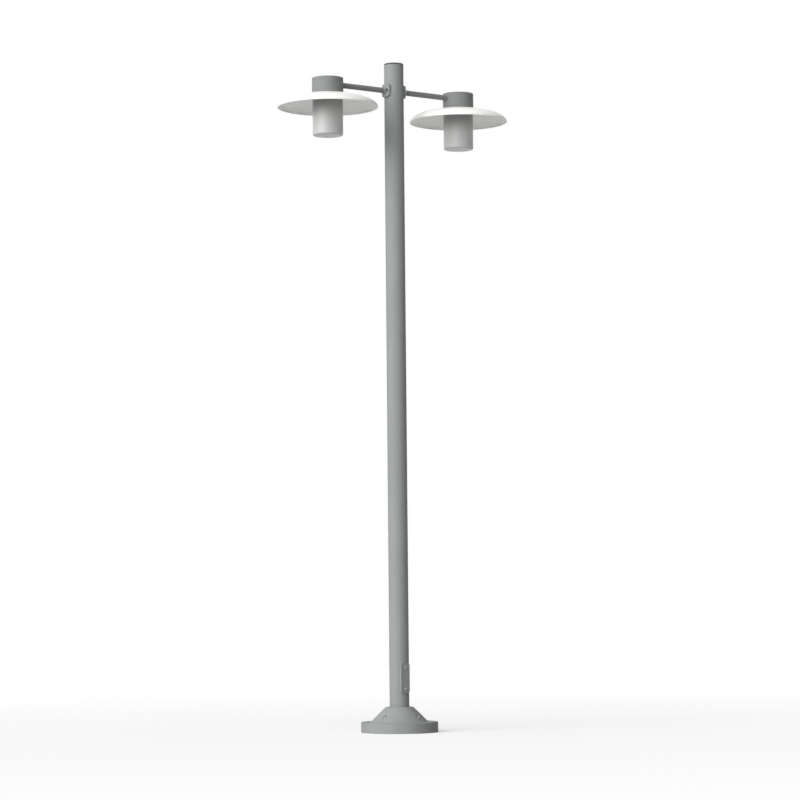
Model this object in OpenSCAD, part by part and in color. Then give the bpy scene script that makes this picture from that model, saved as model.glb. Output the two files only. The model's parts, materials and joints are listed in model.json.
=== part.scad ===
// Twin-head lamp post: a round pole on a covered foot, with two arms that carry shaded lamp heads.
// Millimetres, +Z up. The origin is at the middle of the foot, on the ground.
// The arms lie along X and the service door faces -Y.

/* [Pole] */
// Outer diameter of the pole tube
pole_d = 76.1; // [72:0.1:92]
// Wall of the pole tube
pole_wall = 3; // [2.5:0.1:3.5]
// Height of the pole's top edge
pole_h = 2600; // [1800:10:3600]
// Thickness of the end cap's flange
cap_flange_t = 5.7; // [4:0.1:8]
// Depth of the end cap's plug
cap_plug_h = 24; // [12:1:40]

/* [Foot] */
// Diameter of the base plate
plate_d = 270; // [240:1:280]
// Thickness of the base plate
plate_t = 10; // [8:1:14]
// Pitch circle of the anchor holes
anchor_pcd = 200; // [180:1:220]
// Diameter of an anchor hole
anchor_hole_d = 14; // [11:0.5:18]
// Diameter of the cable entry
cable_entry_d = 50; // [30:1:60]
// Leg of the weld between pole and plate
weld_leg = 6; // [3:1:8]

/* [Foot cover] */
// Outer diameter of the cover
cover_d = 298; // [290:1:360]
// Height of the cover's upright rim
rim_h = 40; // [36:1:44]
// Diameter of the cone at its foot
cone_foot_d = 224; // [216:1:240]
// Slope of the cone
cone_angle = 44.5; // [43:0.5:46]
// Height of the cover
cover_h = 97.5; // [95:0.5:104]
// Radius of the ridge round the cover's top
ridge_r = 5; // [3:0.5:6]
// Slope of the dish between the ridge and the pole
dish_angle = 20; // [10:1:25]
// Wall of the cover
cover_wall = 5; // [4:0.5:6]
// Length of the collar round the pole
collar_h = 20; // [16:1:26]

/* [Foot cover fixings] */
// Number of cover screws
cover_screws_n = 4; // [2, 4]
// Pitch circle of the cover screws
pillar_pcd = 180; // [176:1:186]
// Turn of the first cover screw from the door
cover_screw_turn = 15; // [0:1:20]
// Thread diameter of the cover screws and grub screws
cover_screw_d = 8; // [6:1:8]
// Diameter of a threaded pillar
pillar_d = 18; // [16:1:20]
// Height of a pocket's floor
pocket_z = 53; // [51:0.5:54]
// Diameter of a pocket
pocket_d = 17; // [15:0.5:18]
// Height of the cover's grub screws
grub_z = 82; // [80:0.5:84]

/* [Door] */
// Width of the door
door_w = 41; // [36:1:48]
// Height of the door
door_h = 115; // [104:1:140]
// Height of the door's middle
door_z = 208.5; // [206:0.5:400]
// Radius of the door's corners
door_corner_r = 9; // [4:0.5:12]
// How far the door's face stands from the pole
door_proud = 2.55; // [2.2:0.05:4]
// Width of the opening in the pole
opening_w = 30; // [28:1:34]
// Height of the opening in the pole
opening_h = 66; // [62:1:68]
// Distance between the two door screws
door_screw_pitch = 81.5; // [80:0.5:96]
// Thread diameter of the door screws
door_screw_d = 6; // [5:0.5:6]

/* [Fuse box] */
// Width of the fuse box
box_w = 28; // [26:1:28]
// Height of the fuse box
box_h = 60; // [58:1:61]
// Depth of the fuse box
box_depth = 32; // [30:1:32]
// Wall of the fuse box
box_wall = 1.6; // [1.2:0.1:2]

/* [Arms] */
// Drop of the arm axis below the pole's top
arm_drop = 103; // [70:1:200]
// Distance from the pole axis to a lamp axis
arm_reach = 316; // [270:1:420]
// Outer diameter of an arm tube
arm_d = 21.3; // [18:0.1:24]
// Wall of an arm tube
arm_wall = 2; // [1.5:0.1:2.5]
// Width of a saddle
saddle_w = 47; // [46:1:54]
// Height of a saddle
saddle_h = 50; // [40:1:60]
// Thickness of a saddle
saddle_t = 7.5; // [6:0.5:10]
// Thickness of the rubber pad under a saddle
saddle_pad_t = 1; // [0.8:0.1:1.5]
// Distance between a saddle's two screws
saddle_screw_pitch = 35; // [34:0.5:36]
// Diameter of the cable to each head
head_cable_d = 6.5; // [5:0.5:7]

/* [Housing] */
// Diameter of a housing
housing_d = 121; // [116:1:130]
// Height of a housing
housing_h = 62.3; // [60:0.1:80]
// Height of a housing's top above the arm axis
housing_above_arm = 21.3; // [20:0.1:24]
// Wall of a housing
housing_wall = 2.5; // [2:0.1:3]

/* [Shade] */
// Diameter of a shade at its rim
shade_d = 388.4; // [300:1:460]
// Rise of the shade's curve above its rim
shade_rise = 53.9; // [42:1:60]
// Thickness of the shade's sheet
shade_t = 2; // [1.5:0.1:2.5]
// Radius of the rolled bead at the rim
bead_r = 2.2; // [1.8:0.1:3]

/* [Glass] */
// Diameter of the glass
glass_d = 117.6; // [112:0.1:118]
// Height of the glass below its shoulder
glass_h = 153.8; // [144:0.1:200]
// Wall of the glass
glass_wall = 3.5; // [3:0.1:4]
// Diameter of the glass's neck
neck_d = 93; // [90:0.5:94]
// Height of the glass's neck
neck_h = 15.9; // [14:0.1:15.9]

/* [Bulb] */
// Diameter of the bulb's globe
bulb_d = 60; // [45:1:62]
// Length of the bulb below its holder
bulb_drop = 83; // [70:1:100]
// Diameter of the bulb's threaded cap
bulb_cap_d = 26.2; // [26:0.1:26.4]
// Height of the lamp holder
holder_h = 46; // [44:1:48]

/* [Hidden] */
$fn = 96;
EPS = 0.01;
// Gaps: between bodies that move apart, between pieces of one body, and round a passing cable or screw
GAP = 0.3;
FIT = 0.1;
SLACK = 0.5;
HEX = 6;

grey = "#9aa09e";
bolt_grey = "#b9bcbb";
white = "#f4f4f2";
black = "#2a2b2b";
rubber = "#1f2020";
brass = "#c9a44f";
steel = "#8c8f90";
opal = "#e6e7e6";
ivory = "#e4dfcf";

pole_r = pole_d / 2;
bore_r = pole_r - pole_wall;

// Foot cover, seen in section
cover_r = cover_d / 2;
cone_foot_r = cone_foot_d / 2;
cone_slope = tan(cone_angle);
cone_depth = cover_wall / cos(cone_angle);
cover_bore_r = pole_r + SLACK;
collar_r = cover_bore_r + 7.5;
collar_z = cover_h - collar_h - 3.5;
rim_edge = 1.5;
ridge_z = cover_h - ridge_r;
ridge_x = cone_foot_r - (ridge_z + ridge_r / cos(cone_angle) - rim_h) / cone_slope;
dish_start = [ridge_x - ridge_r * sin(dish_angle), ridge_z + ridge_r * cos(dish_angle)];

pillar_r = pillar_pcd / 2;
pillar_top = pocket_z - 10;
cover_boss_d = pocket_d + 7;
screw_key = cover_screw_d * 0.75;
anchor_turn = cover_screw_turn + 45;

// Door
door_face = pole_r + door_proud;
door_pad_t = 0.8;
rivnut_r = 4.4;
rivnut_flange_r = 6;

// Fuse box: its back is at box_back and its lid at box_front
box_z = door_z - box_h / 2;
box_back = 18;
box_front = box_back - box_depth;
lid_depth = 7;
lid_y = box_front + lid_depth;
gland_r = 6.2;
gland_h = 13;
gland_x = 7;
supply_gland_r = 8;
rail_t = 2;
rail_w = 20;
rail_over = 12;
box_screw_d = 3.8;
box_screw_dz = -5.5;
fuse_r = 2.6;
fuse_len = 20;
fuse_x = 6;
fuse_z = door_z + box_screw_dz + 17.5;

// Arms and heads
arm_z = pole_h - arm_drop;
arm_r = arm_d / 2;
saddle_face = pole_r + saddle_pad_t + saddle_t;
saddle_corner_r = 12;
arm_start = pole_r + 4;
cable_hole_r = head_cable_d / 2 + 4.75;
boss_r = arm_r + 4.35;
boss_in = 26;
arm_grub_d = 5;
saddle_screw_d = 6;

housing_r = housing_d / 2;
housing_top = arm_z + housing_above_arm;
housing_z = housing_top - housing_h;
housing_pad_t = 1;
seat_z = housing_z - housing_pad_t;
under_z = seat_z - shade_t;

shade_r = shade_d / 2;
rim_z = seat_z - shade_rise * sin(acos(housing_r / shade_r));
shade_rise_in = (under_z - rim_z) / sin(acos(housing_r / (shade_r - shade_t)));

carrier_flange_t = 3;
carrier_bore_r = neck_d / 2 + 1.7;
carrier_r = carrier_bore_r + 2.8;
carrier_depth = 11.4;
carrier_disc_z = seat_z + carrier_depth;
carrier_disc_t = 3;
carrier_top = carrier_disc_z + carrier_disc_t;
carrier_screw_r = 34;
carrier_screw_d = 5;
carrier_lead_r = 6;
shade_hole_r = carrier_r + SLACK;

glass_pad_t = 1.1;
glass_pad_z = under_z - carrier_flange_t - glass_pad_t;
shoulder_z = glass_pad_z - GAP;
glass_z = shoulder_z - glass_h;
glass_r = glass_d / 2;
neck_r = neck_d / 2;
thread_r = carrier_bore_r - GAP;

holder_z = carrier_disc_z - holder_h;
holder_r = 21;
holder_neck_r = 16;
shell_out_r = bulb_cap_d / 2 + GAP + 0.7;
bulb_r = bulb_d / 2;
bulb_cap_h = 25;
globe_z = holder_z - bulb_drop + bulb_r;
terminal_top = carrier_top + 11;

// Points along an arc, both ends included
function arc(centre, r, from, to, steps) =
  [for (i = [0 : steps]) let (a = from + (to - from) * i / steps) centre + r * [cos(a), sin(a)]];

// Points along a quarter ellipse, from the angle where its radius is seat_r down to the rim
function dome(r, rise, base, seat_r, rim_angle, steps) =
  [for (i = [0 : steps])
    let (a = acos(seat_r / r) * (1 - i / steps) + rim_angle * i / steps)
    [r * cos(a), base + rise * sin(a)]];

function reversed(points) = [for (i = [len(points) - 1 : -1 : 0]) points[i]];

// Height of the cone's outer face at a radius
function cone_z(r) = rim_h + (cone_foot_r - r) * cone_slope;

// Half of a chord's reach: how far a circle of radius r stands from the middle at an offset
function chord(r, offset) = sqrt(r * r - offset * offset);

module tube(r_out, r_in, h) {
  difference() {
    cylinder(r = r_out, h = h);
    translate([0, 0, -EPS]) cylinder(r = r_in, h = h + 2 * EPS);
  }
}

// A cylinder that starts at x and runs along +X
module rod_x(r, x, length) {
  translate([x, 0, 0]) rotate([0, 90, 0]) cylinder(r = r, h = length);
}

// A cylinder that starts at y and runs along -Y
module rod_y(r, y, length) {
  translate([0, y, 0]) rotate([90, 0, 0]) cylinder(r = r, h = length);
}

// A slab with rounded corners, standing in YZ and running along +X from x
module slab_x(w, h, corner, x, length) {
  translate([x, 0, 0]) {
    for (y = [-1, 1], z = [-1, 1])
      translate([0, y * (w / 2 - corner), z * (h / 2 - corner)]) rod_x(corner, 0, length);
    translate([0, -w / 2, -h / 2 + corner]) cube([length, w, h - 2 * corner]);
    translate([0, -w / 2 + corner, -h / 2]) cube([length, w - 2 * corner, h]);
  }
}

// The same slab, standing in XZ and running along -Y from y
module slab_y(w, h, corner, y, length) {
  translate([0, y, 0]) rotate([0, 0, -90]) slab_x(w, h, corner, 0, length);
}

// A socket-head screw along +Z: the head sits on z = 0 and the shank reaches down
module socket_screw(d, length, head_d, head_h, key) {
  edge = head_h * 0.2;
  difference() {
    union() {
      translate([0, 0, -length]) cylinder(d = d, h = length + EPS);
      cylinder(d = head_d, h = head_h - edge);
      translate([0, 0, head_h - edge]) cylinder(d1 = head_d, d2 = head_d - 2 * edge, h = edge);
    }
    translate([0, 0, head_h * 0.4]) cylinder(d = key / cos(30), h = head_h, $fn = HEX);
  }
}

// A headless screw along +Z with its tip at z = 0
module grub_screw(d, length, key) {
  difference() {
    cylinder(d = d, h = length);
    translate([0, 0, length * 0.6]) cylinder(d = key / cos(30), h = length, $fn = HEX);
  }
}

module around_cover() {
  for (i = [0 : cover_screws_n - 1])
    rotate([0, 0, -90 + cover_screw_turn + i * 360 / cover_screws_n]) children();
}

module two_grubs() {
  for (a = [0, 180]) rotate([0, 0, -90 + cover_screw_turn + a]) children();
}

// Carries children from the right side, along +X, to a side of the pole
module on_side(side) {
  rotate([0, 0, side > 0 ? 0 : 180]) children();
}

module at_head() {
  translate([arm_reach, 0, 0]) children();
}

module at_arm() {
  translate([0, 0, arm_z]) children();
}

module at_saddle_screws() {
  for (y = [-1, 1]) translate([0, y * saddle_screw_pitch / 2, arm_z]) children();
}

module at_door_screws() {
  for (z = [-1, 1]) translate([0, 0, door_z + z * door_screw_pitch / 2]) children();
}

module at_carrier_screws() {
  for (a = [0, 120, 240]) rotate([0, 0, a]) translate([carrier_screw_r, 0, 0]) children();
}

// ---- Foot ----

module base_plate() {
  edge = 1;
  color(steel) difference() {
    union() {
      cylinder(d = plate_d, h = plate_t - edge);
      translate([0, 0, plate_t - edge]) cylinder(d1 = plate_d, d2 = plate_d - 2 * edge, h = edge);
    }
    translate([0, 0, -1]) cylinder(d = cable_entry_d, h = plate_t + 2);
    for (i = [0 : 3])
      rotate([0, 0, -90 + anchor_turn + i * 90])
        translate([anchor_pcd / 2, 0, -1]) cylinder(d = anchor_hole_d, h = plate_t + 2);
  }
}

module foot_weld() {
  hollow = weld_leg * 0.45;
  color(steel) rotate_extrude() translate([pole_r + FIT / 2, plate_t])
    polygon([[0, 0], [weld_leg, 0], [hollow, hollow], [0, weld_leg]]);
}

module cover_pillars() {
  tap_depth = 24;
  color(steel) around_cover() translate([pillar_r, 0, plate_t]) difference() {
    cylinder(d = pillar_d, h = pillar_top - GAP - plate_t);
    translate([0, 0, pillar_top - GAP - plate_t - tap_depth])
      cylinder(d = cover_screw_d + 2 * GAP, h = tap_depth + 1);
  }
}

module cover_outline(inner) {
  outer = concat(
    [[cover_bore_r, 0], [cover_r, 0]],
    arc([cover_r - rim_edge, rim_h - rim_edge], rim_edge, 0, 90, 4),
    [[cone_foot_r, rim_h]],
    arc([ridge_x, ridge_z], ridge_r, 90 - cone_angle, 90 + dish_angle, 8),
    [[cover_bore_r, dish_start.y - (dish_start.x - cover_bore_r) * tan(dish_angle)]]
  );
  hollow = [
    [cover_bore_r - 1, -1], [cover_r - cover_wall, -1], [cover_r - cover_wall, rim_h - cover_wall],
    [cone_foot_r + (cover_wall - cone_depth) / cone_slope, rim_h - cover_wall],
    [collar_r + 6, cone_z(collar_r + 6) - cone_depth],
    [collar_r, dish_start.y - (dish_start.x - collar_r) * tan(dish_angle) - cover_wall],
    [collar_r, collar_z], [cover_bore_r - 1, collar_z]
  ];
  difference() {
    polygon(outer);
    if (inner) polygon(hollow);
  }
}

module base_cover() {
  color(grey) difference() {
    union() {
      rotate_extrude() cover_outline(true);
      intersection() {
        rotate_extrude() cover_outline(false);
        union() {
          around_cover() translate([pillar_r, 0, pillar_top])
            cylinder(d = cover_boss_d, h = cone_z(pillar_r) - pillar_top);
          two_grubs() translate([0, 0, grub_z])
            rod_x(cover_screw_d, cover_bore_r + 1, ridge_x + ridge_r - cover_bore_r);
        }
      }
    }
    around_cover() translate([pillar_r, 0, pocket_z]) cylinder(d = pocket_d, h = cover_h);
    around_cover() translate([pillar_r, 0, 0]) cylinder(d = cover_screw_d + 2 * FIT, h = cover_h);
    two_grubs() translate([0, 0, grub_z]) rod_x(cover_screw_d / 2 + FIT, pole_r, cover_r);
  }
}

module cover_screws() {
  reach = pocket_z - plate_t - 14;
  head_h = cover_screw_d;
  color(bolt_grey) around_cover() translate([pillar_r, 0, pocket_z])
    socket_screw(cover_screw_d, reach, cover_screw_d * 1.6, head_h, screw_key);
}

module cover_grub_screws() {
  start = pole_r + GAP;
  length = cone_foot_r - (grub_z - rim_h) / cone_slope - start - cover_screw_d / 2 - 1.5;
  color(bolt_grey) two_grubs() translate([start, 0, grub_z]) rotate([0, 90, 0])
    grub_screw(cover_screw_d, length, screw_key);
}

// ---- Pole ----

module pole_tube() {
  color(grey) difference() {
    translate([0, 0, plate_t]) tube(pole_r, bore_r, pole_h - plate_t);
    translate([0, 0, door_z]) slab_y(opening_w, opening_h, opening_w / 5, -bore_r / 2, pole_r);
    at_door_screws() rod_y(rivnut_r + FIT, -bore_r / 2, pole_r);
    at_arm() rod_x(cable_hole_r, -pole_r - 1, pole_d + 2);
    at_saddle_screws() rod_x(saddle_screw_d / 2 + FIT, -pole_r - 1, pole_d + 2);
  }
}

module pole_cap() {
  edge = 1.5;
  rib_t = 0.25;
  plug_r = bore_r - GAP - rib_t;
  flange_z = pole_h + GAP;
  color(black) {
    translate([0, 0, flange_z]) cylinder(r = pole_r, h = cap_flange_t - edge);
    translate([0, 0, flange_z + cap_flange_t - edge]) cylinder(r1 = pole_r, r2 = pole_r - edge, h = edge);
    translate([0, 0, flange_z - cap_plug_h]) tube(plug_r, plug_r - 2.5, cap_plug_h + EPS);
    for (i = [1 : 3])
      translate([0, 0, flange_z - i * cap_plug_h / 4]) tube(plug_r + rib_t, plug_r - 1, 1.2);
  }
}

// ---- Door ----

module door() {
  color(grey) difference() {
    translate([0, 0, door_z]) slab_y(door_w, door_h, door_corner_r, 0, door_face);
    translate([0, 0, door_z - door_h]) cylinder(r = pole_r + GAP + door_pad_t, h = 2 * door_h);
    at_door_screws() rod_y(door_screw_d / 2 + FIT, 0, door_face + 1);
  }
}

module door_gasket() {
  inset = 2;
  color(rubber) difference() {
    intersection() {
      translate([0, 0, door_z - door_h]) tube(pole_r + GAP + door_pad_t - FIT, pole_r + GAP, 2 * door_h);
      translate([0, 0, door_z])
        slab_y(door_w - 2 * inset, door_h - 2 * inset, door_corner_r - inset, 0, door_face);
    }
    translate([0, 0, door_z]) slab_y(opening_w, opening_h, opening_w / 5, 0, door_face + 1);
    at_door_screws() rod_y(rivnut_r + FIT, 0, door_face);
  }
}

module door_screws() {
  head_h = 2.4;
  shank = door_face - bore_r + 8;
  color(bolt_grey) at_door_screws() translate([0, -door_face, 0]) rotate([90, 0, 0])
    socket_screw(door_screw_d - 2 * GAP, shank, door_screw_d * 1.75, head_h, door_screw_d * 0.66);
}

module door_rivnuts() {
  flange_y = -chord(bore_r, rivnut_flange_r) + FIT;
  rivnut_len = 9;
  color(steel) at_door_screws() difference() {
    union() {
      rod_y(rivnut_r, flange_y + rivnut_len, chord(pole_r, rivnut_r) + flange_y + rivnut_len);
      rod_y(rivnut_flange_r, flange_y + 1.5, 1.5);
    }
    rod_y(door_screw_d / 2, 0, pole_r + 1);
  }
}

// ---- Fuse box inside the pole ----

module box_rail() {
  leg_x = rail_w / 2;
  leg_end = chord(bore_r, leg_x) - FIT;
  tall = box_h + 2 * rail_over;
  color(steel) translate([0, 0, door_z - tall / 2]) difference() {
    union() {
      translate([-leg_x, box_back, 0]) cube([rail_w, rail_t, tall]);
      for (x = [-leg_x, leg_x - rail_t])
        translate([x, box_back, 0]) cube([rail_t, leg_end - box_back, tall]);
    }
    translate([0, 0, tall / 2 + box_screw_dz])
      rod_y(box_screw_d / 2 + FIT, box_back + rail_t + 1, rail_t + 2);
  }
}

// One half of the box: a tray whose floor is at y = 0 and whose mouth faces -Y
module box_tray(depth) {
  difference() {
    slab_y(box_w, box_h, 3, 0, depth);
    slab_y(box_w - 2 * box_wall, box_h - 2 * box_wall, 3 - box_wall, -box_wall, depth);
  }
}

module box_base() {
  color(ivory) translate([0, box_back, door_z]) difference() {
    box_tray(box_back - lid_y);
    for (x = [-gland_x, gland_x]) translate([x, -box_back, 0]) cylinder(d = head_cable_d + 1, h = box_h);
    translate([0, -box_back, -box_h]) cylinder(r = supply_gland_r / 2, h = box_h);
    translate([0, 0, box_screw_dz]) rod_y(box_screw_d / 2 + FIT, 1, box_wall + 2);
  }
}

module box_lid() {
  color(ivory) translate([0, box_front, door_z]) rotate([0, 0, 180]) box_tray(lid_depth - FIT);
}

module box_screw() {
  color(bolt_grey) translate([0, box_back - box_wall, door_z + box_screw_dz]) rotate([90, 0, 0])
    socket_screw(box_screw_d, box_wall + rail_t, box_screw_d * 1.7, 2, box_screw_d * 0.66);
}

module gland(r, bore) {
  difference() {
    union() {
      cylinder(r = r, h = gland_h * 0.35, $fn = HEX);
      translate([0, 0, gland_h * 0.35]) cylinder(r = r * 0.86, h = gland_h * 0.35);
      translate([0, 0, gland_h * 0.7]) cylinder(r1 = r * 0.86, r2 = r * 0.62, h = gland_h * 0.3);
    }
    translate([0, 0, -1]) cylinder(r = bore, h = gland_h + 2);
  }
}

module cable_glands() {
  color(black) {
    for (x = [-gland_x, gland_x]) translate([x, 0, box_z + box_h]) gland(gland_r, head_cable_d / 2 + FIT);
    translate([0, 0, box_z]) rotate([180, 0, 0]) gland(supply_gland_r, supply_gland_r / 2);
  }
}

module terminal_block() {
  block = [21, 12, 16];
  ways = 3;
  back = box_back - box_wall;
  top_z = door_z + box_screw_dz - 4;
  color(ivory) translate([-block.x / 2, back - block.y, top_z - block.z]) difference() {
    cube(block);
    for (i = [0 : ways - 1]) {
      x = block.x * (i + 0.5) / ways;
      translate([x, block.y / 2, -1]) cylinder(r = 2, h = block.z + 2);
      translate([x, 4, block.z / 2]) rod_y(1.8, 0, 6);
    }
  }
}

module fuse_holders() {
  block = [9, 8, 27];
  back = box_back - box_wall;
  color(black) for (x = [-1, 1])
    translate([x * fuse_x - block.x / 2, back - block.y, fuse_z - block.z / 2]) difference() {
      cube(block);
      translate([block.x / 2, 0, (block.z - fuse_len) / 2 - FIT])
        cylinder(r = fuse_r + FIT, h = fuse_len + 2 * FIT);
    }
}

module fuses() {
  cap = 5;
  front = box_back - box_wall - 8;
  color(ivory) for (x = [-1, 1]) translate([x * fuse_x, front, fuse_z - fuse_len / 2]) {
    cylinder(r = fuse_r - 0.2, h = fuse_len);
    for (z = [0, fuse_len - cap]) translate([0, 0, z]) cylinder(r = fuse_r, h = cap);
  }
}

module earth_stud() {
  stud_r = 3;
  length = 14;
  offset_y = 10;
  washer_t = 1.2;
  nut_h = 4.5;
  foot_x = -chord(bore_r, offset_y + stud_r) + FIT;
  washer_x = foot_x + 3;
  color(brass) translate([0, -offset_y, door_z - opening_h / 2 + 8]) {
    rod_x(stud_r, foot_x, length);
    rod_x(stud_r * 2, washer_x, washer_t);
    translate([washer_x + washer_t - EPS, 0, 0]) rotate([0, 90, 0])
      cylinder(r = stud_r * 1.8, h = nut_h, $fn = HEX);
  }
}

// ---- Arms ----

module arm_saddle() {
  neck_in = saddle_face - 3;
  neck_out = saddle_face + 9;
  color(grey) difference() {
    union() {
      intersection() {
        translate([0, 0, arm_z - saddle_h]) cylinder(r = saddle_face, h = 2 * saddle_h);
        at_arm() slab_x(saddle_w, saddle_h, saddle_corner_r, 0, saddle_face);
      }
      at_arm() translate([neck_in, 0, 0]) rotate([0, 90, 0])
        cylinder(r1 = boss_r + 1.5, r2 = arm_r + 2.2, h = neck_out - neck_in);
    }
    translate([0, 0, arm_z - saddle_h]) cylinder(r = pole_r + saddle_pad_t, h = 2 * saddle_h);
    at_arm() rod_x(arm_r + FIT, arm_start, saddle_face);
    at_arm() rod_x(cable_hole_r, 0, saddle_face);
    at_saddle_screws() rod_x(saddle_screw_d / 2 + FIT, 0, saddle_face);
    at_saddle_screws() rod_x(saddle_screw_d, saddle_face - 5.5, 10);
    at_arm() translate([saddle_face + 2, 0, -boss_r - 4]) cylinder(d = arm_grub_d + 2 * FIT, h = boss_r);
  }
}

module saddle_gasket() {
  inset = 0.6;
  color(rubber) difference() {
    intersection() {
      translate([0, 0, arm_z - saddle_h])
        tube(pole_r + saddle_pad_t - FIT / 2, pole_r + FIT / 2, 2 * saddle_h);
      at_arm() slab_x(saddle_w - 2 * inset, saddle_h - 2 * inset, saddle_corner_r - inset, 0, pole_d);
    }
    at_arm() rod_x(cable_hole_r, 0, pole_d);
    at_saddle_screws() rod_x(saddle_screw_d / 2 + FIT, 0, pole_d);
  }
}

module saddle_screws() {
  seat = saddle_face - 5.5;
  wall_x = chord(bore_r, saddle_screw_pitch / 2);
  color(bolt_grey) at_saddle_screws() translate([seat, 0, 0]) rotate([0, 90, 0])
    socket_screw(saddle_screw_d, seat - wall_x + 2, saddle_screw_d * 1.7, 3.6, saddle_screw_d * 0.66);
}

module arm_tube() {
  color(grey) at_arm() difference() {
    rod_x(arm_r, arm_start, arm_reach - housing_r + boss_in - arm_start);
    rod_x(arm_r - arm_wall, arm_start - 1, arm_reach);
  }
}

module arm_grub_screws() {
  saddle_grub_len = 3.2;
  head_grub_len = 6;
  color(bolt_grey) at_arm() for (x = [saddle_face + 2, arm_reach - housing_r + boss_in * 0.6])
    translate([x, 0, -arm_r - FIT]) rotate([180, 0, 0])
      grub_screw(arm_grub_d, x < arm_reach / 2 ? saddle_grub_len : head_grub_len, arm_grub_d / 2);
}

// ---- Heads ----

module housing() {
  edge = 1.5;
  color(grey) difference() {
    union() {
      at_head() rotate_extrude() polygon(concat(
        [[housing_r - housing_wall, housing_z], [housing_r, housing_z]],
        arc([housing_r - edge, housing_top - edge], edge, 0, 90, 4),
        [[0, housing_top], [0, housing_top - housing_wall],
         [housing_r - housing_wall, housing_top - housing_wall]]
      ));
      at_head() translate([0, 0, arm_z]) rod_x(boss_r, -housing_r + 1, boss_in);
      at_head() at_carrier_screws() translate([0, 0, carrier_top])
        cylinder(d = carrier_screw_d * 2, h = housing_top - carrier_top - 1);
    }
    at_arm() rod_x(arm_r + FIT, arm_start, arm_reach - arm_start);
    at_head() at_carrier_screws() translate([0, 0, carrier_top - 1]) cylinder(d = carrier_screw_d, h = 16);
    at_arm() translate([arm_reach - housing_r + boss_in * 0.6, 0, -boss_r - 1])
      cylinder(d = arm_grub_d + 2 * FIT, h = boss_r);
  }
}

module housing_gasket() {
  color(rubber) at_head() translate([0, 0, seat_z])
    tube(housing_r - 0.4, housing_r - housing_wall - 2, housing_pad_t);
}

module shade() {
  rim_angle = asin(bead_r / shade_rise);
  color(white) at_head() {
    rotate_extrude() polygon(concat(
      [[shade_hole_r, under_z], [shade_hole_r, seat_z]],
      dome(shade_r, shade_rise, rim_z, housing_r, rim_angle, 20),
      reversed(dome(shade_r - shade_t, shade_rise_in, rim_z, housing_r, rim_angle, 20))
    ));
    rotate_extrude() translate([shade_r - bead_r, rim_z + bead_r]) circle(r = bead_r, $fn = 32);
  }
}

module lamp_carrier() {
  flange_z = under_z - carrier_flange_t;
  color(bolt_grey) at_head() difference() {
    rotate_extrude() polygon([
      [carrier_bore_r, flange_z], [glass_r - 2, flange_z], [glass_r - 2, under_z], [carrier_r, under_z],
      [carrier_r, carrier_top], [carrier_lead_r, carrier_top], [carrier_lead_r, carrier_disc_z],
      [carrier_bore_r, carrier_disc_z]
    ]);
    at_carrier_screws() translate([0, 0, carrier_disc_z - 1])
      cylinder(d = carrier_screw_d + 2 * FIT, h = 10);
  }
}

module carrier_screws() {
  color(bolt_grey) at_head() at_carrier_screws() translate([0, 0, carrier_disc_z]) rotate([180, 0, 0])
    socket_screw(carrier_screw_d - 2 * FIT, 14, carrier_screw_d * 1.7, 3.4, 3);
}

module lamp_holder() {
  top = carrier_disc_z;
  color(ivory) at_head() rotate_extrude() polygon([
    [3, top], [holder_neck_r, top], [holder_neck_r, top - 18], [holder_r, top - 22],
    [holder_r, holder_z + 1], [holder_r - 1, holder_z], [shell_out_r + 0.05, holder_z],
    [shell_out_r + 0.05, holder_z + bulb_cap_h + 3], [3, holder_z + bulb_cap_h + 3]
  ]);
}

module holder_contacts() {
  color(brass) at_head() {
    translate([0, 0, holder_z + 2]) tube(shell_out_r, shell_out_r - 0.6, bulb_cap_h - 3);
    translate([0, 0, holder_z + bulb_cap_h + GAP]) cylinder(r = 4.5, h = 3 - GAP);
  }
}

// A pear-shaped shell: a ball whose flank runs up to the cap
module bulb_globe() {
  shell = 1.2;
  neck_r = bulb_cap_d / 2 - 0.5;
  lean = 30;
  color(opal) at_head() translate([0, 0, globe_z]) rotate_extrude() polygon(concat(
    arc([0, 0], bulb_r, -90, lean, 18),
    [[neck_r + 2.5, holder_z - globe_z - 3], [neck_r + 2.5, holder_z - globe_z - GAP],
     [neck_r, holder_z - globe_z - GAP]],
    reversed(arc([0, 0], bulb_r - shell, -90, lean, 18))
  ));
}

module bulb_cap() {
  ring_h = 1.8;
  pitch = 3.6;
  body_r = bulb_cap_d / 2 - 0.6;
  insulator_h = 5;
  color(steel) at_head() translate([0, 0, holder_z - GAP]) {
    cylinder(r = body_r, h = bulb_cap_h - insulator_h);
    for (i = [0 : 3]) translate([0, 0, 4 + i * pitch]) cylinder(r = bulb_cap_d / 2, h = ring_h);
    translate([0, 0, bulb_cap_h - insulator_h]) cylinder(r1 = body_r, r2 = 5, h = insulator_h);
  }
}

module glass() {
  foot_r = 5;
  brow_r = 6;
  lip = 1.5;
  thread_h = 2;
  in_r = glass_r - glass_wall;
  neck_in_r = neck_r - glass_wall;
  neck_top = shoulder_z + neck_h;
  color(opal) at_head() {
    rotate_extrude() polygon(concat(
      [[0, glass_z]],
      arc([glass_r - foot_r, glass_z + foot_r], foot_r, -90, 0, 6),
      arc([glass_r - brow_r, shoulder_z - brow_r], brow_r, 0, 90, 6),
      [[neck_r, shoulder_z], [neck_r, neck_top - lip], [neck_r - lip, neck_top], [neck_in_r, neck_top],
       [neck_in_r, shoulder_z - glass_wall]],
      reversed(arc([in_r - brow_r + glass_wall, shoulder_z - brow_r], brow_r - glass_wall, 0, 90, 4)),
      reversed(arc([in_r - foot_r + glass_wall, glass_z + foot_r], foot_r - glass_wall, -90, 0, 4)),
      [[0, glass_z + glass_wall]]
    ));
    for (z = [5, 12]) translate([0, 0, shoulder_z + z]) tube(thread_r, neck_r - 1, thread_h);
  }
}

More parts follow.
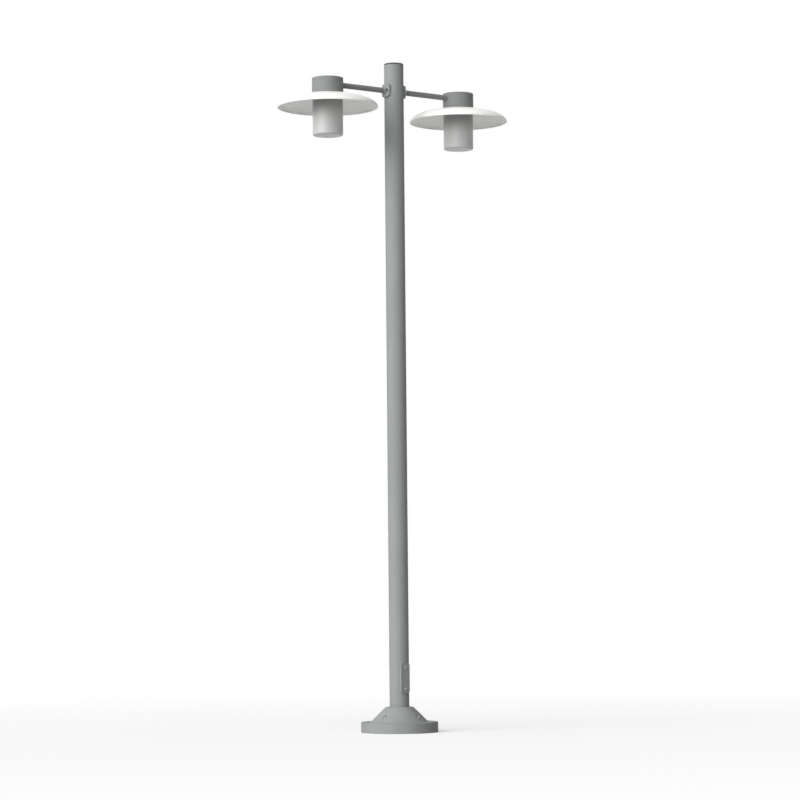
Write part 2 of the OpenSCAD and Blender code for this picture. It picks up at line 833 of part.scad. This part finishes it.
module glass_gasket() {
  color(rubber) at_head() translate([0, 0, glass_pad_z])
    tube(glass_r - 3, carrier_bore_r + 1.5, glass_pad_t);
}

module head_terminal() {
  block = [24, 18, 11];
  color(ivory) at_head() translate([-22, -block.y / 2, carrier_top]) difference() {
    cube(block);
    for (y = [-1, 1])
      translate([block.x / 2, block.y / 2 + y * 5, block.z / 2]) rod_x(1.8, -block.x, 2 * block.x);
  }
}

// From a gland up the pole, out through the arm and down to the head's terminal
module head_cable() {
  r = head_cable_d / 2;
  pole_bend = 25;
  head_bend = 12;
  start = box_z + box_h + 2;
  drop_x = arm_reach - 10;
  color(black) {
    translate([gland_x, 0, start]) cylinder(r = r, h = arm_z - pole_bend - start);
    translate([gland_x + pole_bend, 0, arm_z - pole_bend]) rotate([90, 0, 0]) rotate([0, 0, 90])
      rotate_extrude(angle = 90) translate([pole_bend, 0]) circle(r = r);
    at_arm() rod_x(r, gland_x + pole_bend, drop_x - head_bend - gland_x - pole_bend);
    translate([drop_x - head_bend, 0, arm_z - head_bend]) rotate([90, 0, 0])
      rotate_extrude(angle = 90) translate([head_bend, 0]) circle(r = r);
    translate([drop_x, 0, terminal_top]) cylinder(r = r, h = arm_z - head_bend - terminal_top);
  }
}

base_plate();
foot_weld();
cover_pillars();
pole_tube();
pole_cap();
base_cover();
cover_screws();
cover_grub_screws();
door();
door_gasket();
door_screws();
door_rivnuts();
box_rail();
box_base();
box_lid();
box_screw();
cable_glands();
terminal_block();
fuse_holders();
fuses();
earth_stud();
on_side(-1) arm_saddle();  // left_arm_saddle
on_side(-1) saddle_gasket();  // left_saddle_gasket
on_side(-1) saddle_screws();  // left_saddle_screws
on_side(-1) arm_tube();  // left_arm_tube
on_side(-1) arm_grub_screws();  // left_arm_grub_screws
on_side(-1) housing();  // left_housing
on_side(-1) housing_gasket();  // left_housing_gasket
on_side(-1) shade();  // left_shade
on_side(-1) lamp_carrier();  // left_lamp_carrier
on_side(-1) carrier_screws();  // left_carrier_screws
on_side(-1) lamp_holder();  // left_lamp_holder
on_side(-1) holder_contacts();  // left_holder_contacts
on_side(-1) bulb_globe();  // left_bulb_globe
on_side(-1) bulb_cap();  // left_bulb_cap
on_side(-1) glass();  // left_glass
on_side(-1) glass_gasket();  // left_glass_gasket
on_side(-1) head_terminal();  // left_head_terminal
on_side(-1) head_cable();  // left_head_cable
on_side(1) arm_saddle();  // right_arm_saddle
on_side(1) saddle_gasket();  // right_saddle_gasket
on_side(1) saddle_screws();  // right_saddle_screws
on_side(1) arm_tube();  // right_arm_tube
on_side(1) arm_grub_screws();  // right_arm_grub_screws
on_side(1) housing();  // right_housing
on_side(1) housing_gasket();  // right_housing_gasket
on_side(1) shade();  // right_shade
on_side(1) lamp_carrier();  // right_lamp_carrier
on_side(1) carrier_screws();  // right_carrier_screws
on_side(1) lamp_holder();  // right_lamp_holder
on_side(1) holder_contacts();  // right_holder_contacts
on_side(1) bulb_globe();  // right_bulb_globe
on_side(1) bulb_cap();  // right_bulb_cap
on_side(1) glass();  // right_glass
on_side(1) glass_gasket();  // right_glass_gasket
on_side(1) head_terminal();  // right_head_terminal
on_side(1) head_cable();  // right_head_cable
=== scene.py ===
import json
import math
from functools import cached_property

import bmesh
import bpy
from mathutils import Matrix, Vector


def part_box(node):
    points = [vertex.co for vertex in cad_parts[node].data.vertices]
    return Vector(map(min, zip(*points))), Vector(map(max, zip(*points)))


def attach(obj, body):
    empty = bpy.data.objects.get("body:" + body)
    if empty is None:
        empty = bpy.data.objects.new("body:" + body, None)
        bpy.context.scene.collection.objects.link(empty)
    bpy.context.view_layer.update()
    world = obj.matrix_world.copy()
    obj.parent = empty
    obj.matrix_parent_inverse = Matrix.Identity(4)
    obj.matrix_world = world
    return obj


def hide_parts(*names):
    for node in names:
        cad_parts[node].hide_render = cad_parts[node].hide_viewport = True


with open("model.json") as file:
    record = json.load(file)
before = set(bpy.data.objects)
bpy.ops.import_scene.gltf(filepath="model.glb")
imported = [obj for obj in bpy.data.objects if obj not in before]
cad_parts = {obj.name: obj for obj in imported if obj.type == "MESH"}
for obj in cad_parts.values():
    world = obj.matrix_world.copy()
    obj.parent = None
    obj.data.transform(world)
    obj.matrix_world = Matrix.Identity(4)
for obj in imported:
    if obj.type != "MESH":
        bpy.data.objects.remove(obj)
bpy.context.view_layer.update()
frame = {"nodes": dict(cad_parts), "record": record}
NODES = frame["nodes"]
SLOT_OF = {part["node"]: part["material_slot"] for part in frame["record"]["subparts"]}
SIDES = ("left", "right")

scene = bpy.context.scene
scene.view_settings.view_transform = "Standard"


# ---------------------------------------------------------------- node trees
def linear(rgb):
    """An sRGB colour of 0-255 parts as linear red, green, blue and alpha."""
    parts = [c / 255 for c in rgb]
    return [c / 12.92 if c <= 0.04045 else ((c + 0.055) / 1.055) ** 2.4 for c in parts] + [1.0]


def lighter(rgb, by):
    return [min(255, c + by) for c in rgb]


def even(level):
    """A neutral linear colour."""
    return (level, level, level, 1.0)


class Tree:
    """The node tree of a material or world, with short ways to add and join nodes."""

    def __init__(self, owner):
        owner.use_nodes = True
        self.owner = owner
        self.nodes = owner.node_tree.nodes
        self.links = owner.node_tree.links
        self.nodes.clear()

    @cached_property
    def place(self):
        """Where a point of the surface is in the frame, in metres."""
        return self.node("ShaderNodeTexCoord").outputs["Object"]

    @cached_property
    def normal(self):
        return self.node("ShaderNodeNewGeometry").outputs["Normal"]

    def node(self, kind, settings=None, **inputs):
        """A new node: settings are its properties, inputs its sockets by name, or i0, i1... by number."""
        made = self.nodes.new(kind)
        for key, value in (settings or {}).items():
            setattr(made, key, value)
        for key, value in inputs.items():
            numbered = key[0] == "i" and key[1:].isdigit()
            self.put(made.inputs[int(key[1:]) if numbered else key.replace("_", " ")], value)
        return made

    def put(self, socket, value):
        """Links a socket to another node's output, or sets it to a plain value."""
        if isinstance(value, bpy.types.NodeSocket):
            self.links.new(value, socket)
        else:
            socket.default_value = value

    def math(self, operation, a, b=0.0, clamp=False):
        made = self.node("ShaderNodeMath", {"operation": operation, "use_clamp": clamp}, i0=a, i1=b)
        return made.outputs[0]

    def noise(self, scale, detail=2.0, stretch=(1, 1, 1), shift=0.0):
        """Fractal noise in cells of about 1/scale metres, 0 to 1."""
        mapped = self.node("ShaderNodeMapping", Vector=self.place, Scale=stretch, Location=(shift,) * 3)
        made = self.node("ShaderNodeTexNoise", Vector=mapped.outputs[0], Scale=scale, Detail=detail,
                         Roughness=0.55)
        return made.outputs[0]

    def ramp(self, value, low, high, to_low=0.0, to_high=1.0, curve="SMOOTHSTEP"):
        """value's range low to high, turned into to_low to to_high."""
        made = self.node("ShaderNodeMapRange", {"interpolation_type": curve}, Value=value, From_Min=low,
                         From_Max=high, To_Min=to_low, To_Max=to_high)
        return made.outputs[0]

    def mix(self, share, a, b):
        return self.node("ShaderNodeMix", {"data_type": "RGBA"}, i0=share, i6=a, i7=b).outputs[2]

    def part_of(self, share, value):
        return self.math("MULTIPLY", value, share)

    def edges(self, radius):
        """1 along convex and concave edges within radius metres, 0 on open faces."""
        soft = self.node("ShaderNodeBevel", {"samples": 4}, Radius=radius).outputs[0]
        dot = self.node("ShaderNodeVectorMath", {"operation": "DOT_PRODUCT"}, i0=soft, i1=self.normal)
        return self.ramp(self.math("SUBTRACT", 1.0, dot.outputs["Value"]), 0.02, 0.2)

    def z_of(self, vector):
        return self.node("ShaderNodeSeparateXYZ", Vector=vector).outputs["Z"]

    def bump(self, layers):
        """Stacked bumps of (height socket, depth in metres, strength)."""
        under = None
        for height, depth, strength in layers:
            made = self.node("ShaderNodeBump", Height=height, Distance=depth, Strength=strength)
            if under is not None:
                self.put(made.inputs["Normal"], under)
            under = made.outputs[0]
        return under

    def surface(self, colour, roughness, normal, **fixed):
        """Closes a material with the Principled shader, and returns the material."""
        shader = self.node("ShaderNodeBsdfPrincipled", Base_Color=colour, Roughness=roughness,
                           Normal=normal, **fixed)
        self.node("ShaderNodeOutputMaterial", Surface=shader.outputs[0])
        return self.owner

    def mix_shader(self, share, a, b):
        return self.node("ShaderNodeMixShader", i0=share, i1=a, i2=b).outputs[0]

    def seen_or_lit(self, seen, lit):
        """seen for camera, glossy and transmission rays, lit for the light that falls on things."""
        path = self.node("ShaderNodeLightPath")
        total = path.outputs["Is Camera Ray"]
        for ray in ("Is Glossy Ray", "Is Transmission Ray"):
            total = self.math("ADD", total, path.outputs[ray], clamp=True)
        return self.mix_shader(total, lit, seen)


# ---------------------------------------------------------------- materials
# Detail is in noise cells a metre; bump depths and edge widths are in metres. A noise's shift only
# keeps it from lining up with another.
CONTRAST = (0.3, 0.7)  # the part of a noise's range that its two tones meet in
PAINT_DRIFT, PAINT_GLOSS, PAINT_CHIPS, PAINT_PEEL, PAINT_GRAIN = 3.5, 28, 160, 420, 1100
RAIN_MARKS = (55, 55, 1.6)  # long upright streaks
PEEL_DEPTH, GRAIN_DEPTH, MARK_DEPTH = 0.0004, 0.00012, 0.0002
PAINT_EDGE, METAL_EDGE, MOULDED_EDGE = 0.0012, 0.0006, 0.0007
METAL_MOTTLE, MOULDED_CLOUD = 70, 24
GLASS_CLOUD, GLASS_RIPPLE, GLASS_SKIN, GLASS_SEEDS = 18, 60, 700, 900
RIPPLE_DEPTH, GLASS_SKIN_DEPTH = 0.0003, 0.00004
# the glass's painted shade deepens between these shares of its height
SHADE_FROM, SHADE_TO = 0.3, 0.85  # shares of the glass's height between which it darkens


def powder_coat(name, tone, dark, worn, dust, rough, peel, **fixed):
    """Baked paint: tone drift, grain, rain marks, a trace of dust, rubbed edges and orange peel.

    Colours are sRGB; rough is the middle roughness, and peel the strength of the orange peel.
    """
    t = Tree(bpy.data.materials.new(name))
    drift = t.ramp(t.noise(PAINT_DRIFT, 3), *CONTRAST)
    colour = t.mix(t.part_of(0.6, drift), linear(tone), linear(dark))

    grain = t.noise(PAINT_GRAIN, 1, shift=3.1)
    colour = t.mix(t.ramp(grain, 0.35, 0.75, 0.0, 0.16), colour, linear(dust))

    rain_marks = t.ramp(t.noise(1, 3, RAIN_MARKS, 7.7), 0.52, 0.8, 0.0, 0.22)
    colour = t.mix(rain_marks, colour, linear(dark))

    upward = t.ramp(t.z_of(t.normal), 0.35, 0.95)
    colour = t.mix(t.part_of(0.18, upward), colour, linear(dust))

    chips = t.ramp(t.noise(PAINT_CHIPS, 3, shift=1.3), 0.42, 0.62)
    rubbed = t.math("MULTIPLY", t.edges(PAINT_EDGE), chips)
    colour = t.mix(t.part_of(0.5, rubbed), colour, linear(worn))

    gloss = t.ramp(t.noise(PAINT_GLOSS, 3, shift=5.0), *CONTRAST, rough - 0.05, rough + 0.07)
    gloss = t.math("SUBTRACT", gloss, t.part_of(0.12, rubbed))
    bumps = t.bump([(t.noise(PAINT_PEEL, 2), PEEL_DEPTH, peel), (grain, GRAIN_DEPTH, peel)])
    return t.surface(colour, gloss, bumps, **fixed)


def bare_metal(name, tone, dark, rough, grain, stretch=(1, 1, 1), spangle=0.0):
    """Zinc, steel, brass or aluminium: mottled tone, tool marks and brighter rubbed edges.

    grain and stretch set the tool marks; spangle is the size of zinc flowers, in cells a metre.
    """
    t = Tree(bpy.data.materials.new(name))
    if spangle:
        cells = t.node("ShaderNodeTexVoronoi", Vector=t.place, Scale=spangle).outputs["Color"]
        patch = t.ramp(t.node("ShaderNodeSeparateColor", Color=cells).outputs[0], 0.1, 0.9)
    else:
        patch = t.ramp(t.noise(METAL_MOTTLE, 3), 0.35, 0.65)
    colour = t.mix(patch, linear(tone), linear(dark))

    marks = t.noise(grain, 2, stretch, 2.2)
    colour = t.mix(t.ramp(marks, 0.4, 0.7, 0.0, 0.25), colour, linear(dark))
    colour = t.mix(t.part_of(0.35, t.edges(METAL_EDGE)), colour, linear(lighter(tone, 40)))

    gloss = t.math("ADD", t.ramp(patch, 0, 1, rough - 0.05, rough + 0.06),
                   t.ramp(marks, *CONTRAST, -0.04, 0.05))
    return t.surface(colour, gloss, t.bump([(marks, MARK_DEPTH, 0.35)]), Metallic=1.0)


def moulded(name, tone, dark, rough, grain, depth=0.0001, strength=0.25, **fixed):
    """Plastic, rubber, silicone or ceramic: cloudiness, a moulded grain and lighter handled edges.

    grain is in cells a metre; depth in metres and strength are those of its bump.
    """
    t = Tree(bpy.data.materials.new(name))
    cloud = t.ramp(t.noise(MOULDED_CLOUD, 3), *CONTRAST)
    colour = t.mix(cloud, linear(tone), linear(dark))

    skin = t.noise(grain, 2, shift=4.4)
    colour = t.mix(t.ramp(skin, 0.45, 0.75, 0.0, 0.3), colour, linear(dark))
    colour = t.mix(t.part_of(0.3, t.edges(MOULDED_EDGE)), colour, linear(lighter(tone, 26)))

    gloss = t.ramp(skin, *CONTRAST, rough - 0.05, rough + 0.06)
    return t.surface(colour, gloss, t.bump([(skin, depth, strength)]), **fixed)


def opal_glass(name):
    """Blown opal glass, with painted shade: darker near the top, where the lamp holder shades it, and on
    its downward faces.
    """
    t = Tree(bpy.data.materials.new(name))
    low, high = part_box("left_glass")
    wall = high.z - low.z
    cloud = t.ramp(t.noise(GLASS_CLOUD, 3, (1, 1, 0.35)), *CONTRAST)
    colour = t.mix(cloud, linear((194, 194, 193)), linear((188, 188, 187)))

    # painted shade: the glass darkens towards its top, where the lamp holder shades it
    painted_top_shade = t.ramp(t.z_of(t.place), low.z + SHADE_FROM * wall, low.z + SHADE_TO * wall, 0.0, 0.8)
    colour = t.mix(painted_top_shade, colour, linear((126, 126, 124)))
    # painted shade on the faces that look down
    painted_underside_shade = t.ramp(t.math("MULTIPLY", t.z_of(t.normal), -1.0), 0.3, 0.95, 0.0, 0.6)
    colour = t.mix(painted_underside_shade, colour, linear((158, 158, 157)))
    seeds = t.ramp(t.noise(GLASS_SEEDS, 1, shift=8.0), 0.66, 0.8, 0.0, 0.25)
    colour = t.mix(seeds, colour, linear((206, 206, 204)))

    ripple = t.noise(GLASS_RIPPLE, 2, (1, 1, 2.5), 6.1)
    gloss = t.ramp(ripple, *CONTRAST, 0.3, 0.42)
    bumps = t.bump([(ripple, RIPPLE_DEPTH, 0.12),
                    (t.noise(GLASS_SKIN, 1, shift=2.0), GLASS_SKIN_DEPTH, 0.15)])
    return t.surface(colour, gloss, bumps, Subsurface_Weight=0.15, Subsurface_Scale=0.004,
                     Coat_Weight=0.1, Coat_Roughness=0.3, Specular_IOR_Level=0.4)


GREY_PAINT = {"rough": 0.6, "peel": 0.22, "Specular_IOR_Level": 0.1}
LOOKS = {  # material slot: maker, tone, dark tone, and what the maker needs besides
    "grey_powder_coat": (powder_coat, (148, 151, 150), (139, 142, 141), {
        "worn": (176, 179, 177), "dust": (158, 161, 158), **GREY_PAINT}),
    "white_powder_coat": (powder_coat, (249, 248, 245), (243, 242, 238), {
        "worn": (251, 251, 250), "dust": (236, 234, 228), "rough": 0.38, "peel": 0.08,
        "Specular_IOR_Level": 0.5}),
    "galvanised_steel": (bare_metal, (178, 182, 186), (148, 153, 158), {
        "rough": 0.42, "grain": 300, "spangle": 110}),
    "stainless_steel": (bare_metal, (168, 169, 168), (144, 145, 145), {
        "rough": 0.36, "grain": 900, "stretch": (1, 1, 0.08)}),
    "cast_aluminium": (bare_metal, (196, 197, 198), (170, 172, 174), {"rough": 0.48, "grain": 700}),
    "brass": (bare_metal, (214, 178, 104), (186, 148, 78), {
        "rough": 0.28, "grain": 900, "stretch": (1, 1, 0.1)}),
    "bulb_cap_metal": (bare_metal, (204, 205, 206), (180, 181, 183), {"rough": 0.3, "grain": 700}),
    "black_plastic": (moulded, (46, 47, 47), (36, 37, 37), {"rough": 0.5, "grain": 900}),
    "black_rubber": (moulded, (42, 42, 42), (33, 33, 33), {
        "rough": 0.78, "grain": 1300, "depth": 0.0002, "strength": 0.4}),
    "silicone": (moulded, (206, 205, 198), (192, 191, 184), {
        "rough": 0.55, "grain": 700, "Subsurface_Weight": 0.15, "Subsurface_Scale": 0.002}),
    "ivory_plastic": (moulded, (228, 222, 204), (216, 209, 190), {"rough": 0.38, "grain": 800}),
    "ceramic": (moulded, (236, 233, 224), (222, 218, 206), {
        "rough": 0.2, "grain": 300, "depth": 0.00006, "strength": 0.2, "Coat_Weight": 0.3}),
    "cable_sheath": (moulded, (52, 52, 53), (40, 40, 41), {"rough": 0.6, "grain": 800}),
    "bulb_diffuser": (moulded, (238, 238, 234), (230, 230, 224), {
        "rough": 0.34, "grain": 400, "Subsurface_Weight": 0.2, "Subsurface_Scale": 0.004}),
}
MATERIALS = {slot: maker(slot, tone, dark, **rest) for slot, (maker, tone, dark, rest) in LOOKS.items()}
MATERIALS["opal_glass"] = opal_glass("opal_glass")

# The housings and arms get a darker copy of the grey paint: painted shade against the light that the
# white shades bounce onto them.
SHADED_HEAD_COAT = powder_coat("grey_powder_coat_heads_painted_shade", (134, 137, 136), (125, 128, 127),
                        worn=(164, 167, 165), dust=(148, 151, 148), **GREY_PAINT)
HEAD_NODES = [f"{side}_{part}" for side in SIDES for part in ("housing", "arm_tube")]

for node_name, obj in NODES.items():
    obj.data.materials.clear()
    # housings and arms take the darker copy, whose darker tone is painted shade
    obj.data.materials.append(SHADED_HEAD_COAT if node_name in HEAD_NODES else MATERIALS[SLOT_OF[node_name]])


# ---------------------------------------------------------------- pieces finer than their CAD solids
def ring_mesh(name, rings, closed, material_of_ring, slots):
    """A skin over rings of points; closed joins the last to the first, else both ends are capped."""
    bm = bmesh.new()
    loops = [[bm.verts.new(point) for point in ring] for ring in rings]
    around = len(loops[0])
    pairs = list(zip(loops, loops[1:])) + ([(loops[-1], loops[0])] if closed else [])
    for k, (one, two) in enumerate(pairs):
        for i in range(around):
            j = (i + 1) % around
            face = bm.faces.new((one[i], one[j], two[j], two[i]))
            face.smooth, face.material_index = True, material_of_ring(k)
    if not closed:
        for loop, k in ((loops[0], 0), (loops[-1], len(pairs) - 1)):
            bm.faces.new(loop).material_index = material_of_ring(k)
    bmesh.ops.recalc_face_normals(bm, faces=bm.faces)
    mesh = bpy.data.meshes.new(name)
    bm.to_mesh(mesh)
    bm.free()
    for slot in slots:
        mesh.materials.append(MATERIALS[slot])
    made = bpy.data.objects.new(name, mesh)
    scene.collection.objects.link(made)
    return made


def turned(centre, radius, z, around, wave=None):
    """A ring of points about the vertical axis through centre; wave(angle) is added to its radius."""
    points = []
    for i in range(around):
        angle = 2 * math.pi * i / around
        r = radius + (wave(angle) if wave else 0.0)
        points.append((centre.x + r * math.cos(angle), centre.y + r * math.sin(angle), z))
    return points


# An E27 cap's sizes are in metres; its two outlines are in shares of the cap's radius and height.
CAP_SKIN = 0.00002  # how far the thread stays inside the CAD solid
THREAD_PITCH, THREAD_DEPTH = 0.00362, 0.00048
THREAD_STEPS, THREAD_AROUND = 64, 96
THREAD_FROM, THREAD_TO = 0.032, 0.784  # shares of the cap's height
FADE_IN, FADE_OUT = 8, 6  # steps over which the thread rises and runs out
LIP = 2.4 * THREAD_DEPTH  # how far the open end is turned in
INSULATOR = ((0.86, 0.81), (0.72, 0.84), (0.58, 0.885), (0.47, 0.93), (0.42, 0.945))
CONTACT = ((0.4, 0.965), (0.36, 0.985), (0.26, 0.997), (0.12, 1.0))


def bulb_cap(side):
    """An E27 lamp cap: a rolled helical thread, a dark glass insulator and a soldered contact."""
    low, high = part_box(f"{side}_bulb_cap")
    centre = (low + high) / 2
    outer, height = (high.x - low.x) / 2, high.z - low.z
    rings = [turned(centre, outer - LIP, low.z, THREAD_AROUND)]
    for k in range(THREAD_STEPS + 1):
        z = height * (THREAD_FROM + (THREAD_TO - THREAD_FROM) * k / THREAD_STEPS)
        fade = min(1.0, k / FADE_IN, (THREAD_STEPS - k) / FADE_OUT)

        def wave(angle, z=z, fade=fade):
            return THREAD_DEPTH * fade * math.cos(2 * math.pi * z / THREAD_PITCH - angle)

        rings.append(turned(centre, outer - THREAD_DEPTH - CAP_SKIN, low.z + z, THREAD_AROUND, wave))
    metal = len(rings) - 1
    for r, z in INSULATOR + CONTACT:
        rings.append(turned(centre, outer * r, low.z + height * z, THREAD_AROUND))
    glassy = metal + len(INSULATOR)
    cap = ring_mesh(f"{side}_lamp_cap", rings, False, lambda k: (k >= metal) + (k >= glassy),
                    ("bulb_cap_metal", "black_plastic", "brass"))
    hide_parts(f"{side}_bulb_cap")
    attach(cap, f"{side}_bulb")


BEAD_SKIN = 0.00005  # metres that the bead stays inside its CAD solid
BEAD_SCALLOPS, BEAD_AROUND, BEAD_STEPS = 96, 768, 8
BEAD_SWELL, BEAD_WANDER = 0.00034, 0.00012  # metres
BEAD_BULGE = 0.112  # share of the leg that the crown stands out
SCALLOP_LEAN, SCALLOP_SHAPE = 0.35, 0.6  # how far a scallop curves along, and how soon it rises


def weld_bead():
    """The fillet weld between pole and base plate, laid in overlapping scallops."""
    low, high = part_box("foot_weld")
    centre = (low + high) / 2
    outer, leg = (high.x - low.x) / 2, high.z - low.z
    inner = outer - leg
    rings = []
    for k in range(BEAD_STEPS + 1):  # the crown, from the plate up to the pole
        t = k / BEAD_STEPS
        crown = math.sin(math.pi * t)
        bulge = BEAD_BULGE * leg * crown
        r = min(inner + leg * (1 - t) + bulge, outer - BEAD_SWELL)
        z = min(max(low.z + leg * t + bulge, low.z + BEAD_SKIN), high.z - BEAD_SKIN)

        def wave(angle, crown=crown):
            phase = (angle * BEAD_SCALLOPS / (2 * math.pi) + SCALLOP_LEAN * crown) % 1.0
            wander = BEAD_WANDER * math.sin(5 * angle) * crown
            return crown * BEAD_SWELL * (phase ** SCALLOP_SHAPE - 0.5) - BEAD_SKIN + wander

        rings.append(turned(centre, r, z, BEAD_AROUND, wave))
    for r, z in ((inner + BEAD_SKIN, high.z - BEAD_SKIN), (inner + BEAD_SKIN, low.z + BEAD_SKIN),
                 (outer - 2 * BEAD_SKIN, low.z + BEAD_SKIN)):
        rings.append(turned(centre, r, z, BEAD_AROUND))
    bead = ring_mesh("weld_bead", rings, True, lambda k: 0, ("galvanised_steel",))
    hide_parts("foot_weld")
    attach(bead, "root")


weld_bead()
for side in SIDES:
    bulb_cap(side)


# ---------------------------------------------------------------- stage and lights
WHITE = even(1.0)
KEY_AZIMUTH = -79  # degrees, from the front at -Y towards +X
AMBIENT_DIM, AMBIENT_BRIGHT = 0.0, 0.6  # world strength away from the key and towards it
AMBIENT_TURN = -0.45  # cosine of the angle to the key where the world starts to brighten
LAMP_DISTANCE = 8
FLOOR_R, FLOOR_DROP, FLOOR_SIDES = 40.0, 0.0002, 96
FLOOR_SEEN, FLOOR_BOUNCE = 0.78, 0.66  # reflectance that is seen, and that lights the object
FLOOR_GLOW = 0.345
FLOOR_FADE = (0.8, 5.0)  # metres from the pole between which the floor turns white


def toward(azimuth, elevation):
    """The direction to a point of the sky, by degrees from the front at -Y towards +X, and up."""
    a, e = math.radians(azimuth), math.radians(elevation)
    return Vector((math.sin(a) * math.cos(e), -math.cos(a) * math.cos(e), math.sin(e)))


def studio_world():
    """White where it is seen; as a light, it dims from the key's side to the other."""
    world = bpy.data.worlds.new("studio")
    t = Tree(world)
    heading = t.node("ShaderNodeTexCoord").outputs["Generated"]
    facing = t.node("ShaderNodeVectorMath", {"operation": "DOT_PRODUCT"}, i0=heading,
                    i1=toward(KEY_AZIMUTH, 0))
    level = t.ramp(facing.outputs["Value"], AMBIENT_TURN, 1.0, AMBIENT_DIM, AMBIENT_BRIGHT, "LINEAR")
    backdrop = t.node("ShaderNodeBackground", Color=WHITE)
    fill = t.node("ShaderNodeBackground", Color=WHITE, Strength=level)
    t.node("ShaderNodeOutputWorld", Surface=t.seen_or_lit(backdrop.outputs[0], fill.outputs[0]))
    scene.world = world


def studio_floor():
    """A pale floor that holds the shadow, turns white far out, and is clear from below."""
    bm = bmesh.new()
    bmesh.ops.create_circle(bm, cap_ends=True, segments=FLOOR_SIDES, radius=FLOOR_R)
    mesh = bpy.data.meshes.new("floor")
    bm.to_mesh(mesh)
    bm.free()
    floor = bpy.data.objects.new("floor", mesh)
    scene.collection.objects.link(floor)
    floor.location.z = -FLOOR_DROP

    t = Tree(bpy.data.materials.new("studio_floor"))
    lit = t.node("ShaderNodeBsdfDiffuse", Color=even(FLOOR_BOUNCE)).outputs[0]
    paper = t.node("ShaderNodeBsdfDiffuse", Color=even(FLOOR_SEEN)).outputs[0]
    glow = t.node("ShaderNodeEmission", Strength=FLOOR_GLOW).outputs[0]
    near = t.node("ShaderNodeAddShader", i0=paper, i1=glow).outputs[0]
    far = t.node("ShaderNodeEmission").outputs[0]
    reach = t.node("ShaderNodeVectorMath", {"operation": "LENGTH"}, i0=t.place).outputs["Value"]
    seen = t.mix_shader(t.ramp(reach, *FLOOR_FADE), near, far)
    clear = t.node("ShaderNodeBsdfTransparent").outputs[0]
    below = t.node("ShaderNodeNewGeometry").outputs["Backfacing"]
    t.node("ShaderNodeOutputMaterial", Surface=t.mix_shader(below, t.seen_or_lit(seen, lit), clear))
    mesh.materials.append(t.owner)


def softbox(name, azimuth, elevation, spread, strength):
    """A far lamp, spread degrees wide; strength 1 lights a white face that meets it to white."""
    away = toward(azimuth, elevation)
    data = bpy.data.lights.new(name, "SUN")
    data.energy, data.angle = strength * math.pi, math.radians(spread)
    lamp = bpy.data.objects.new(name, data)
    scene.collection.objects.link(lamp)
    lamp.location = away * LAMP_DISTANCE
    lamp.rotation_mode = "QUATERNION"
    lamp.rotation_quaternion = away.to_track_quat("Z", "Y")


studio_world()
studio_floor()
softbox("key", KEY_AZIMUTH, elevation=15, spread=60, strength=1.06)
softbox("overhead", -20, elevation=84, spread=50, strength=0.25)

# ---------------------------------------------------------------- camera
CAMERA_AT = (-6.4079, -8.7868, 0.53673)
CAMERA_TURN, CAMERA_PITCH, CAMERA_ROLL = 36.169, 3.937, -0.527  # degrees: right of +Y, up, and round
SENSOR_WIDTH, LENS = 36, 126.06  # millimetres
NEAR, FAR = 0.1, 200

ahead = toward(180 - CAMERA_TURN, CAMERA_PITCH)
across = Vector((math.cos(math.radians(CAMERA_TURN)), -math.sin(math.radians(CAMERA_TURN)), 0))
level_axes = Matrix((across, across.cross(ahead), -ahead)).transposed().to_4x4()
camera_data = bpy.data.cameras.new("camera")
camera_data.sensor_width = SENSOR_WIDTH
camera_data.lens = LENS
camera_data.clip_start, camera_data.clip_end = NEAR, FAR
camera = bpy.data.objects.new("camera", camera_data)
scene.collection.objects.link(camera)
roll = Matrix.Rotation(math.radians(CAMERA_ROLL), 4, "Z")
camera.matrix_world = Matrix.Translation(CAMERA_AT) @ level_axes @ roll
scene.camera = camera

bpy.context.view_layer.update()
